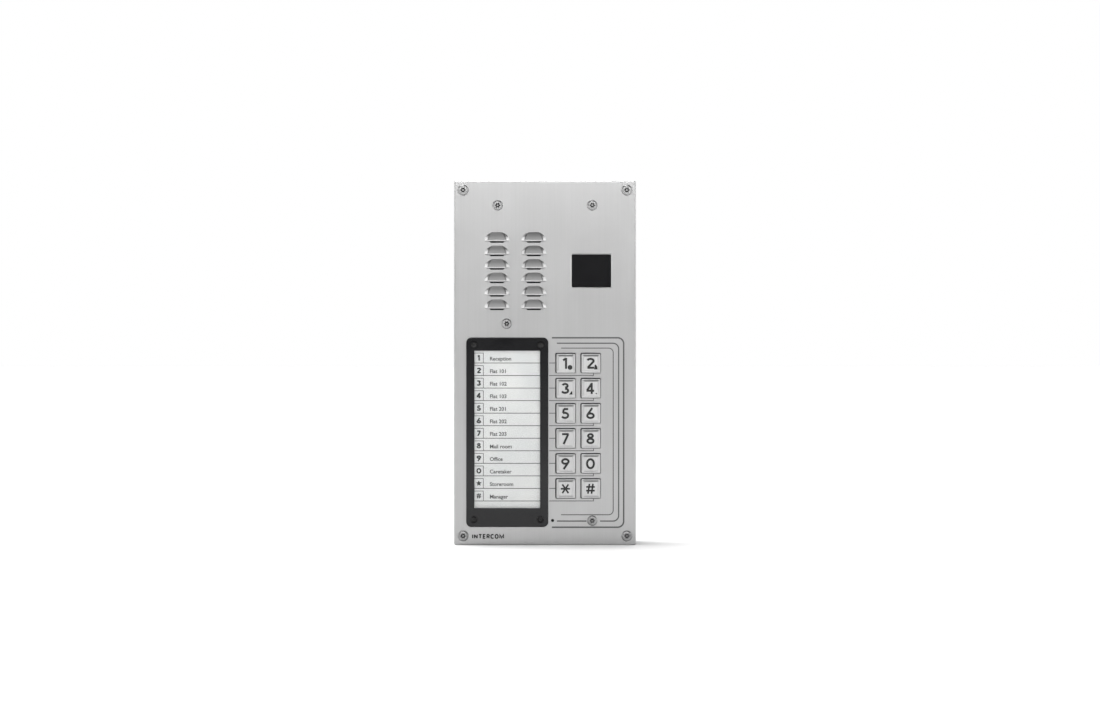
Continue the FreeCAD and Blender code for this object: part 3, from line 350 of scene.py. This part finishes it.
def make_materials():
    made = {
        "stainless_brushed": brushed_steel("stainless_brushed", grey(0.475), grey(0.455), 0.29, 0.34),
        "key_metal": brushed_steel("key_metal", grey(0.58), grey(0.50), 0.32, 0.46),
        "stainless_screw": turned_metal("stainless_screw", grey(0.36), grey(0.27), 0.24, 0.42),
        "zinc_steel": turned_metal("zinc_steel", (0.66, 0.67, 0.69), (0.5, 0.51, 0.52), 0.2, 0.4),
        "box_paint": powder_coat("box_paint"),
        "black_rubber": rubber("black_rubber", grey(0.035), grey(0.018)),
        "grey_silicone": rubber("grey_silicone", grey(0.26), grey(0.19)),
        "bezel_plastic": polished_black("bezel_plastic"),
        "black_screw": turned_metal("black_screw", grey(0.05), grey(0.02), 0.25, 0.45),
        "clear_pane": pane("clear_pane", (0.75, 0.78, 0.77), 0.06, 0.02, 0.05),
        "smoked_pane": pane("smoked_pane", (0.008, 0.008, 0.009), 0.90, 0.03, 0.07),
        "lens_glass": pane("lens_glass", (0.03, 0.03, 0.07), 0.6, 0.02, 0.05),
        "card_paper": card_stock("card_paper"),
        "black_plastic": moulded("black_plastic", grey(0.03), grey(0.016), 0.4, 0.6),
        "grey_plastic": moulded("grey_plastic", grey(0.36), grey(0.28), 0.4, 0.6),
        "green_plastic": moulded("green_plastic", (0.03, 0.26, 0.09), (0.02, 0.18, 0.06), 0.3, 0.5),
        "blue_plastic": moulded("blue_plastic", (0.02, 0.10, 0.36), (0.015, 0.07, 0.26), 0.3, 0.5),
        "white_plastic": moulded("white_plastic", (0.72, 0.71, 0.66), (0.6, 0.59, 0.54), 0.3, 0.5),
        "board_laminate": laminate("board_laminate"),
        "weather_membrane": woven("weather_membrane"),
        "cone_paper": rubber("cone_paper", grey(0.05), grey(0.025)),
        "ferrite": turned_metal("ferrite", grey(0.10), grey(0.05), 0.5, 0.75, period=1.2, depth=0.02),
        "capacitor_can": moulded("capacitor_can", (0.02, 0.03, 0.09), (0.012, 0.018, 0.05), 0.2, 0.4),
        "led_resin": moulded("led_resin", (0.05, 0.01, 0.06), (0.03, 0.008, 0.04), 0.08, 0.2),
        "lead_insulation": rubber("lead_insulation", (0.40, 0.03, 0.025), (0.28, 0.02, 0.018)),
        "black_ink": ink("black_ink", grey(0.018), grey(0.010)),
        "line_ink": ink("line_ink", grey(0.10), grey(0.07)),
        "grey_ink": ink("grey_ink", grey(0.07), grey(0.045)),
    }
    for part in frame["record"]["subparts"]:
        node = frame["nodes"][part["node"]]
        for slot in node.material_slots:
            slot.material = made[part["material_slot"]]
    return made


def smooth_nodes():
    for node in frame["nodes"].values():
        node.data.shade_smooth()
        node.data.set_sharp_from_angle(angle=CREASE)


# ---- print ----------------------------------------------------------------------------------
class Print:
    """Flat shapes with a little thickness, drawn in millimetres in an upright plane."""

    def __init__(self, surface_y, origin=(0.0, 0.0)):
        self.surface_y = surface_y
        self.origin = origin
        self.points = []
        self.faces = []
        self.layers = 0

    def thickness(self):
        """Shapes that cross differ by a hair in height, so no two faces coincide."""
        self.layers += 1
        return INK_DEPTH + LAYER_STEP * (self.layers % LAYERS)

    def add_points(self, outline, depth):
        first = len(self.points)
        x0, z0 = self.origin
        for x, z in outline:
            self.points.append(((x0 + x) * MM, self.surface_y - depth * MM, (z0 + z) * MM))
        return first

    def area(self, outline):
        """A filled outline, listed anticlockwise as seen from the front."""
        count = len(outline)
        top = self.add_points(outline, self.thickness())
        bottom = self.add_points(outline, -INK_SINK)
        self.faces.append([top + i for i in range(count)])
        self.faces.append([bottom + i for i in reversed(range(count))])
        for i in range(count):
            after = (i + 1) % count
            self.faces.append([top + after, top + i, bottom + i, bottom + after])

    def box(self, left, right, low, high):
        self.area([(left, low), (right, low), (right, high), (left, high)])

    def stroke(self, path, width, closed=False):
        """A line of even width through the points, with mitred corners and square ends."""
        count = len(path)
        left = []
        right = []
        for i, (x, z) in enumerate(path):
            before = path[i - 1] if i or closed else None
            after = path[(i + 1) % count] if i + 1 < count or closed else None
            ways = []
            for start, end in ((before, (x, z)), ((x, z), after)):
                if start and end:
                    length = math.dist(start, end)
                    ways.append(((end[0] - start[0]) / length, (end[1] - start[1]) / length))
            normals = [(-way[1], way[0]) for way in ways]
            nx = sum(n[0] for n in normals)
            nz = sum(n[1] for n in normals)
            size = math.hypot(nx, nz)
            nx, nz = nx / size, nz / size
            spread = min(width / 2 / (nx * normals[0][0] + nz * normals[0][1]), width)
            left.append((x + nx * spread, z + nz * spread))
            right.append((x - nx * spread, z - nz * spread))
        top = self.thickness()
        sides = ((left, top), (right, top), (left, -INK_SINK), (right, -INK_SINK))
        rings = [self.add_points(side, depth) for side, depth in sides]
        top_left, top_right, low_left, low_right = rings
        for i in range(count if closed else count - 1):
            after = (i + 1) % count
            self.faces.append([top_left + i, top_right + i, top_right + after, top_left + after])
            self.faces.append([low_left + after, low_right + after, low_right + i, low_left + i])
            self.faces.append([top_left + i, top_left + after, low_left + after, low_left + i])
            self.faces.append([top_right + after, top_right + i, low_right + i, low_right + after])
        if not closed:
            self.faces.append([top_left, low_left, low_right, top_right])
            last = count - 1
            self.faces.append([top_left + last, top_right + last, low_right + last, low_left + last])

    def words(self, text, left, baseline, cap_height, embolden):
        """A line of type from the built-in font."""
        curve = bpy.data.curves.new("type", "FONT")
        curve.body = text
        curve.size = 1.0
        curve.resolution_u = 3
        holder = bpy.data.objects.new("type", curve)
        bpy.context.collection.objects.link(holder)
        scale = cap_height / CAP_HEIGHT
        curve.offset = embolden / scale
        bpy.context.view_layer.update()
        mesh = bpy.data.meshes.new_from_object(holder)
        bpy.data.objects.remove(holder)
        outline = [(left + v.co.x * scale, baseline + v.co.y * scale) for v in mesh.vertices]
        top = self.add_points(outline, self.thickness())
        bottom = self.add_points(outline, -INK_SINK)
        used = {}
        for polygon in mesh.polygons:
            corners = list(polygon.vertices)
            if polygon.normal.z < 0:
                corners.reverse()
            self.faces.append([top + i for i in corners])
            self.faces.append([bottom + i for i in reversed(corners)])
            for start, end in zip(corners, corners[1:] + corners[:1]):
                used[(start, end)] = used.get((start, end), 0) + 1
        for start, end in used:
            if (end, start) not in used:
                self.faces.append([top + end, top + start, bottom + start, bottom + end])

    def finish(self, name, body, material):
        mesh = bpy.data.meshes.new(name)
        mesh.from_pydata(self.points, [], self.faces)
        mesh.update()
        piece = bpy.data.objects.new(name, mesh)
        bpy.context.collection.objects.link(piece)
        mesh.materials.append(material)
        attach(piece, body)


def arc(centre_x, centre_z, radius_x, radius_z, start, end, steps=12):
    points = []
    for step in range(steps + 1):
        angle = math.radians(start + (end - start) * step / steps)
        x = centre_x + radius_x * math.cos(angle)
        points.append((x, centre_z + radius_z * math.sin(angle)))
    return points


def glyph(name, half, weight):
    """The strokes of one figure, centred, for a figure that is twice half high."""
    reach = half - weight / 2
    if name == "1":
        stem = [(0.12 * half, -half), (0.12 * half, half)]
        flag = [(-0.42 * half, 0.55 * half), (0.12 * half, 0.9 * half)]
        return [stem, flag]
    if name == "2":
        bowl = arc(0, 0.44 * half, 0.56 * half, half - 0.44 * half - weight / 2, 165, -38)
        foot = [(-0.55 * half, -reach), (0.66 * half, -reach)]
        return [bowl + [(-0.5 * half, -reach)], foot]
    if name == "3":
        upper = arc(-0.06 * half, 0.48 * half, 0.46 * half, half * 0.52 - weight / 2, 165, -90)
        lower = arc(-0.06 * half, -0.42 * half, 0.56 * half, half * 0.58 - weight / 2, 90, -165)
        return [upper, lower]
    if name == "4":
        return [
            [(0.22 * half, -half), (0.22 * half, half)],
            [(0.22 * half, 0.86 * half), (-0.62 * half, -0.38 * half)],
            [(-0.72 * half, -0.42 * half), (0.66 * half, -0.42 * half)],
        ]
    if name == "5":
        bar = [(0.5 * half, reach), (-0.3 * half, reach)]
        back = [(-0.28 * half, reach), (-0.42 * half, 0.08 * half)]
        bowl = arc(-0.08 * half, -0.34 * half, 0.58 * half, 0.66 * half - weight / 2, 128, -155)
        return [bar, back, bowl]
    if name in ("6", "9"):
        ring = arc(0, -0.4 * half, 0.58 * half, 0.6 * half - weight / 2, 0, 345, 22)
        tail = [(-0.46 * half, -0.12 * half), (0.32 * half, half)]
        turn = 1 if name == "6" else -1
        return [[(x * turn, z * turn) for x, z in path] for path in (ring, tail)]
    if name == "7":
        bar = [(-0.6 * half, reach), (0.6 * half, reach)]
        leg = [(0.52 * half, reach), (-0.32 * half, -half)]
        return [bar, leg]
    if name == "8":
        upper = arc(0, 0.5 * half, 0.42 * half, 0.5 * half - weight / 2, 0, 345, 20)
        lower = arc(0, -0.42 * half, 0.54 * half, 0.58 * half - weight / 2, 0, 345, 22)
        return [upper, lower]
    if name == "0":
        return [arc(0, 0, 0.62 * half, reach, 0, 345, 26)]
    if name == "star":
        arms = [[(-0.84 * half, 0), (0.84 * half, 0)]]
        for way in (-1, 1):
            arms.append([(-0.56 * half * way, -0.8 * half), (0.56 * half * way, 0.8 * half)])
        return arms
    bars = [[(-0.78 * half, z * half), (0.78 * half, z * half)] for z in (-0.34, 0.34)]
    lean = 0.14 * half
    for x in (-0.32, 0.32):
        bars.append([(x * half - lean, -0.9 * half), (x * half + lean, 0.9 * half)])
    return bars


# Which of a figure's strokes close on themselves.
RINGS = {"0": [0], "6": [0], "9": [0], "8": [0, 1]}


def draw_figure(sheet, name, x, z, half, weight):
    for number, path in enumerate(glyph(name, half, weight)):
        moved = [(x + u, z + v) for u, v in path]
        sheet.stroke(moved, weight, closed=number in RINGS.get(name, []))


# Each letter's width and its strokes, in parts of its height.
LETTERS = {
    "I": (0.0, [[(0, 0), (0, 1)]]),
    "N": (0.72, [[(0, 0), (0, 1)], [(0.05, 0.95), (0.67, 0.05)], [(0.72, 0), (0.72, 1)]]),
    "T": (0.66, [[(-0.05, 1), (0.71, 1)], [(0.33, 0), (0.33, 0.9)]]),
    "E": (0.52, [[(0.58, 1), (0, 1), (0, 0), (0.58, 0)], [(0, 0.5), (0.5, 0.5)]]),
    "R": (0.58, [[(0, 0), (0, 1)],
                 [(0, 1), (0.4, 1), (0.58, 0.86), (0.58, 0.62), (0.4, 0.48), (0, 0.48)],
                 [(0.34, 0.46), (0.62, 0)]]),
    "C": (0.66, [[(0.7, 0.86), (0.5, 1), (0.22, 1), (0, 0.76),
                  (0, 0.24), (0.22, 0), (0.5, 0), (0.7, 0.14)]]),
    "O": (0.74, [[(0.5, 1), (0.24, 1), (0, 0.76), (0, 0.24),
                  (0.24, 0), (0.5, 0), (0.74, 0.24), (0.74, 0.76)]]),
    "M": (1.0, [[(0, 0), (0, 1), (0.5, 0.12), (1.0, 1), (1.0, 0)]]),
}


def draw_word(sheet, word, left, baseline, height, weight):
    """Plain block capitals drawn with one even stroke."""
    reach = height - weight
    x = left + weight / 2
    for letter in word:
        width, paths = LETTERS[letter]
        for path in paths:
            points = [(x + u * reach, baseline + weight / 2 + v * reach) for u, v in path]
            sheet.stroke(points, weight, closed=letter == "O")
        x += width * reach + weight + LETTER_GAP


def rounded_bracket(left, right, top, bottom, radius):
    """Three sides of a rounded rectangle, open on the left."""
    path = [(left, top)]
    path += arc(right - radius, top - radius, radius, radius, 90, 0)
    path += arc(right - radius, bottom + radius, radius, radius, 0, -90)
    return path + [(left, bottom)]


def make_plate_print(materials):
    sheet = Print(PLATE_FRONT)
    sheet.stroke(rounded_bracket(*OUTER_BRACKET), width=1.05)
    middle = rounded_bracket(*MIDDLE_BRACKET)
    left, bottom = middle[-1]
    break_left, break_right = BRACKET_BREAK
    sheet.stroke(middle[:-1] + [(break_right, bottom)], width=0.85)
    sheet.stroke([(left, bottom), (break_left, bottom)], width=0.85)
    sheet.stroke(rounded_bracket(*INNER_BRACKET), width=0.62)
    for row in range(12):
        z = -ROW_PITCH * row
        if row % 2 == 0:
            path = [(TICK_LEFT, z), (SHORT_TICK, z)]
        else:
            path = [(TICK_LEFT, z), (LONG_TICK, z), (LONG_TICK, z + TICK_RISE)]
        sheet.stroke(path, width=0.55)
    sheet.finish("plate_lines", "panel", materials["line_ink"])

    mark = Print(PLATE_FRONT)
    draw_word(mark, "INTERCOM", left=-50.9, baseline=-122.7, height=3.4, weight=0.85)
    mark.finish("plate_word", "panel", materials["black_ink"])


DIRECTORY = [
    "Reception", "Flat 101", "Flat 102", "Flat 103", "Flat 201", "Flat 202", "Flat 203",
    "Mail room", "Office", "Caretaker", "Storeroom", "Manager",
]
CARD_WEIGHTS = {"hash": 0.72, "8": 0.85}  # the figures whose strokes are thinner than the rest


def make_card_print(materials):
    lines = Print(CARD_FRONT)
    figures = Print(CARD_FRONT)
    names = Print(CARD_FRONT)
    index_x = (CARD_LEFT + INDEX_RIGHT) / 2
    for row, (name, words) in enumerate(zip(KEY_NAMES, DIRECTORY)):
        z = -ROW_PITCH * row
        lines.stroke([(CARD_LEFT, z), (CARD_RIGHT, z)], width=0.5)
        top = z + INDEX_HEIGHT
        lines.stroke([(CARD_LEFT, top), (INDEX_RIGHT, top), (INDEX_RIGHT, z)], width=0.42)
        middle = z + INDEX_MIDDLE
        if name == "star":
            outline = []
            for point in range(10):
                angle = math.radians(90 + 36 * point)
                radius = 2.1 if point % 2 == 0 else 1.0
                x = index_x + radius * math.cos(angle)
                outline.append((x, middle + radius * math.sin(angle)))
            figures.area(outline)
        else:
            weight = CARD_WEIGHTS.get(name, 1.02)
            draw_figure(figures, name, index_x, middle, half=1.95, weight=weight)
        names.words(words, NAME_LEFT, z + NAME_BASELINE, cap_height=2.7, embolden=0.09)
    lines.finish("card_lines", "panel", materials["grey_ink"])
    figures.finish("card_figures", "panel", materials["black_ink"])
    names.finish("card_words", "panel", materials["grey_ink"])


def make_key_print(materials):
    """Each key's figure, and a plain mark in the lower right corner of the first four."""
    for name in KEY_NAMES:
        low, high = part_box("key_" + name)
        x = (low.x + high.x) / 2 / MM
        z = (low.z + high.z) / 2 / MM
        sheet = Print(low.y, (x, z))
        weight = 1.2 if name in ("star", "hash") else 1.5
        draw_figure(sheet, name, -0.35, 0.0, half=3.85, weight=weight)
        if name == "1":
            sheet.area([(2.9 + 1.7 * u, -2.85 + 1.7 * v) for u, v in arc(0, 0, 1, 1, 0, 340, 17)])
        elif name == "2":
            sheet.area([(2.2, -4.3), (4.6, -4.3), (4.5, -2.4), (3.3, -0.8), (2.6, -1.2)])
        elif name == "3":
            sheet.area([(2.2, -4.3), (4.6, -4.3), (4.5, -2.0), (3.9, -2.0)])
        elif name == "4":
            sheet.area([(3.7 + 0.5 * u, -3.6 + 0.5 * v) for u, v in arc(0, 0, 1, 1, 0, 340, 17)])
        sheet.finish("legend_" + name, "key_" + name, materials["black_ink"])


# ---- keypad domes ---------------------------------------------------------------------------
def make_mesh_piece(name, mesh, material):
    piece = bpy.data.objects.new(name, mesh)
    bpy.context.collection.objects.link(piece)
    mesh.materials.clear()
    mesh.materials.append(material)
    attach(piece, "panel")
    return piece


def turned_mesh(name, centre_x, centre_z, base_y, profile, steps=40):
    """A closed body of revolution about +Y. The profile is radius and height in front of base_y."""
    points = []
    rings = []
    for radius, height in profile:
        count = steps if radius else 1
        rings.append((len(points), count))
        for step in range(count):
            angle = math.tau * step / steps
            offset = (radius * math.cos(angle), -height, radius * math.sin(angle))
            points.append((centre_x + offset[0], base_y + offset[1], centre_z + offset[2]))
    faces = []
    for (first, first_count), (second, second_count) in zip(rings, rings[1:]):
        for step in range(steps):
            after = (step + 1) % steps
            corners = [first + step % first_count, first + after % first_count]
            corners += [second + after % second_count, second + step % second_count]
            faces.append(list(dict.fromkeys(reversed(corners))))
    mesh = bpy.data.meshes.new(name)
    mesh.from_pydata(points, [], faces)
    mesh.update()
    mesh.shade_smooth()
    mesh.set_sharp_from_angle(angle=CREASE)
    return mesh


def make_membrane(materials):
    """The silicone sheet, and over it a dome for each key."""
    node = frame["nodes"]["keypad_membrane"]
    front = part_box("keypad_membrane")[0].y
    sheet_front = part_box("keypad_housing")[1].y
    height = sheet_front - front
    mesh = node.data.copy()
    mesh.transform(node.matrix_world)
    for vertex in mesh.vertices:
        if vertex.co.y < front + LEVEL:
            vertex.co.y = sheet_front
        elif vertex.co.y < sheet_front - LEVEL:
            vertex.co.y = sheet_front + SHEET_RECESS
    cleaned = bmesh.new()
    cleaned.from_mesh(mesh)
    bmesh.ops.remove_doubles(cleaned, verts=cleaned.verts, dist=WELD)
    bmesh.ops.dissolve_degenerate(cleaned, edges=cleaned.edges, dist=WELD)
    cleaned.to_mesh(mesh)
    cleaned.free()
    mesh.set_sharp_from_angle(angle=CREASE)
    silicone = materials["grey_silicone"]
    sheet = make_mesh_piece("membrane_sheet", mesh, silicone)
    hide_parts("keypad_membrane")
    roof = height - DOME_ROOF
    pill = height - PILL_FOOT
    profile = [(0.0, height), (DOME_TOP, height), (DOME_FOOT, DOME_GAP), (DOME_HOLLOW, DOME_GAP)]
    profile += [(DOME_ROOF_RADIUS, roof), (PILL_RADIUS, roof), (PILL_RADIUS, pill), (0.0, pill)]
    for name in KEY_NAMES:
        low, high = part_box("key_" + name)
        x = (low.x + high.x) / 2 - KEY_HANG
        z = (low.z + high.z) / 2 + KEY_HANG
        mesh = turned_mesh("dome_" + name, x, z, sheet_front, profile)
        dome = make_mesh_piece("dome_" + name, mesh, silicone)
        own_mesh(dome)


# ---- studio ---------------------------------------------------------------------------------
def make_floor():
    half = 60.0
    z = CAD_BOUNDS[0].z
    mesh = bpy.data.meshes.new("floor")
    corners = [(-half, -half, z), (half, -half, z), (half, half, z), (-half, half, z)]
    mesh.from_pydata(corners, [], [[0, 1, 2, 3]])
    floor = bpy.data.objects.new("floor", mesh)
    bpy.context.collection.objects.link(floor)
    surface = Surface("floor_paper", IOR=1.3)
    patches = surface.noise((0.004, 0.004, 0.004), detail=3.0)
    surface.colour(surface.blended(surface.ranged(patches, 0.0, 1.0), grey(0.90), grey(0.93)))
    surface.roughness(patches, 0.8, 0.9)
    surface.relief((surface.noise((0.2, 0.2, 0.2)), 0.02))
    mesh.materials.append(surface.material)


def colour_ramp(nodes, stops):
    node = nodes.new("ShaderNodeValToRGB")
    elements = node.color_ramp.elements
    while len(elements) < len(stops):
        elements.new(0.5)
    for element, (position, value) in zip(elements, stops):
        element.position = position
        element.color = (value, value, value, 1.0)
    return node


def make_world():
    """A soft studio: white behind and to the sides, dimmer in front and dark overhead.

    The object is lit by that, and the backdrop itself shows as plain white from every side.
    """
    world = bpy.data.worlds.new("studio")
    bpy.context.scene.world = world
    world.use_nodes = True
    nodes = world.node_tree.nodes
    links = world.node_tree.links
    nodes.clear()
    output = nodes.new("ShaderNodeOutputWorld")
    background = nodes.new("ShaderNodeBackground")
    split = nodes.new("ShaderNodeSeparateXYZ")
    direction = nodes.new("ShaderNodeTexCoord")
    halved = nodes.new("ShaderNodeMapRange")
    halved.inputs["From Min"].default_value = -1.0
    product = nodes.new("ShaderNodeMix")
    product.data_type = "RGBA"
    product.blend_type = "MULTIPLY"
    product.inputs["Factor"].default_value = 1.0
    upward = colour_ramp(nodes, [(0.0, 1.0), (0.22, 1.0), (0.42, 0.6), (0.62, 0.46), (0.9, 0.14)])
    forward = colour_ramp(nodes, [(0.0, FRONT_LIGHT), (0.27, FRONT_LIGHT), (0.46, 1.0), (0.6, 1.0)])
    links.new(direction.outputs["Generated"], split.inputs[0])
    links.new(split.outputs["Z"], upward.inputs[0])
    links.new(split.outputs["Y"], halved.inputs["Value"])
    links.new(halved.outputs["Result"], forward.inputs[0])
    links.new(upward.outputs[0], product.inputs[6])
    links.new(forward.outputs[0], product.inputs[7])
    links.new(product.outputs[2], background.inputs["Color"])
    background.inputs["Strength"].default_value = 1.05
    backdrop = nodes.new("ShaderNodeBackground")
    backdrop.inputs["Color"].default_value = (1.0, 1.0, 1.0, 1.0)
    seen = nodes.new("ShaderNodeLightPath").outputs["Is Camera Ray"]
    chosen = nodes.new("ShaderNodeMixShader")
    links.new(seen, chosen.inputs[0])
    links.new(background.outputs[0], chosen.inputs[1])
    links.new(backdrop.outputs[0], chosen.inputs[2])
    links.new(chosen.outputs[0], output.inputs[0])


def area_light(name, place, target, width, height, power):
    light = bpy.data.lights.new(name, "AREA")
    light.shape = "RECTANGLE"
    light.size = width
    light.size_y = height
    light.energy = power
    holder = bpy.data.objects.new(name, light)
    bpy.context.collection.objects.link(holder)
    holder.location = place
    aim = Vector(target) - Vector(place)
    holder.rotation_euler = aim.to_track_quat("-Z", "Y").to_euler()


def make_lights():
    middle = (0.0, PLATE_FRONT, 0.0)
    area_light("front_softbox", (0.0, -1.9, 0.60), middle, 1.6, 0.3, 11.5)
    area_light("upper_softbox", (0.0, -1.25, 1.0), middle, 1.4, 0.55, 1.3)
    area_light("left_softbox", (-1.5, -0.22, 0.6), middle, 0.7, 1.1, 6.0)
    area_light("right_softbox", (1.5, -0.22, 0.6), middle, 0.7, 1.1, 6.0)
    sun = bpy.data.lights.new("floor_sun", "SUN")
    sun.energy = 3.0
    sun.angle = math.radians(40)
    holder = bpy.data.objects.new("floor_sun", sun)
    bpy.context.collection.objects.link(holder)
    holder.rotation_euler = Vector((0.2, -0.25, -1.0)).to_track_quat("-Z", "Y").to_euler()


def make_camera():
    lens = 100.0
    data = bpy.data.cameras.new("camera")
    data.lens = lens
    data.sensor_width = 36.0
    camera = bpy.data.objects.new("camera", data)
    bpy.context.collection.objects.link(camera)
    distance = VIEW_WIDTH * lens / data.sensor_width
    camera.location = (3.5 * MM, PLATE_FRONT - distance, 1.4 * MM)
    camera.rotation_euler = (math.radians(90), 0.0, 0.0)
    bpy.context.scene.camera = camera


def main():
    bpy.context.scene.view_settings.view_transform = "Standard"
    make_camera()
    materials = make_materials()
    smooth_nodes()
    make_plate_print(materials)
    make_card_print(materials)
    make_key_print(materials)
    make_membrane(materials)
    make_floor()
    make_world()
    make_lights()


main()
